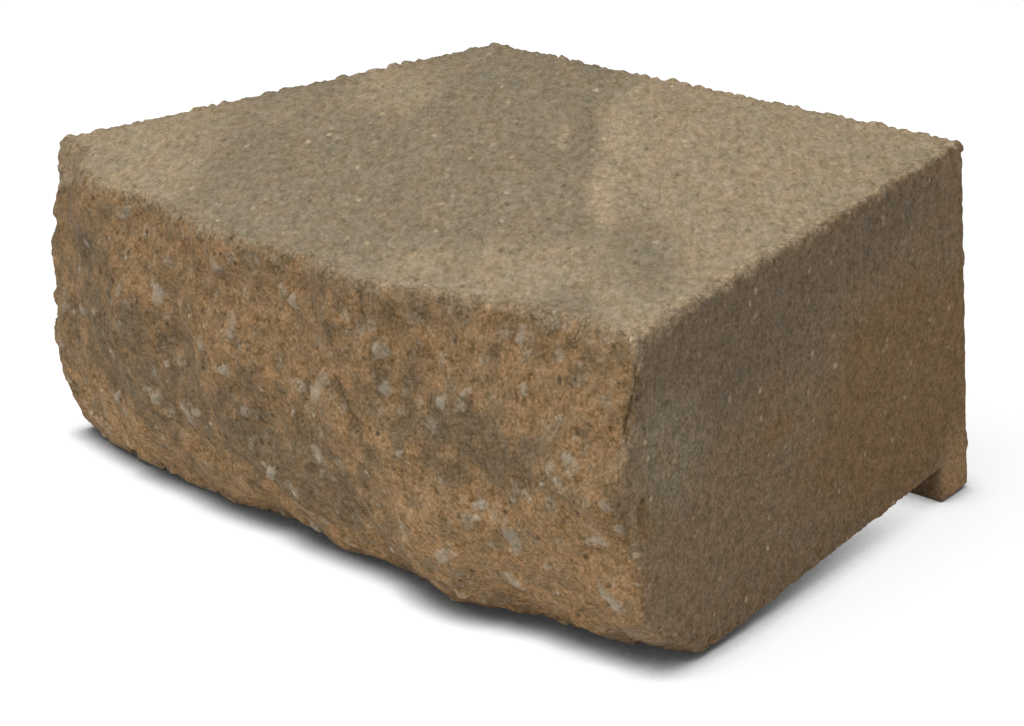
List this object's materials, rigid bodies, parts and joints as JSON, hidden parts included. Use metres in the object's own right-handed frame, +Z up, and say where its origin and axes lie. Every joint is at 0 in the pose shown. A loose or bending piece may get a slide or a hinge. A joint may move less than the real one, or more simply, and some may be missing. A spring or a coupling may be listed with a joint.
{
  "type": "retaining wall block",
  "caption": "Tapered split-face concrete block for dry-stacked garden walls, with a rear lip that hooks behind the course below.",
  "frame": {"origin": "middle of the bounding box's underside, on the floor that the block rests on", "axes": "+X to the right across the width as seen from the front, +Y from the split face to the rear lip, +Z up. The block rests nose down on its toe and its lip, so its beds are tilted about X by a little over four degrees"},
  "size_m": [0.2954, 0.2053, 0.1149],
  "materials": {
    "concrete": "through-coloured dry-cast concrete, blended tan, brown and grey; rough broken front, fine open grain on the moulded sides"
  },
  "bodies": {
    "root": {"wall_block": "concrete"}
  },
  "joints": []
}
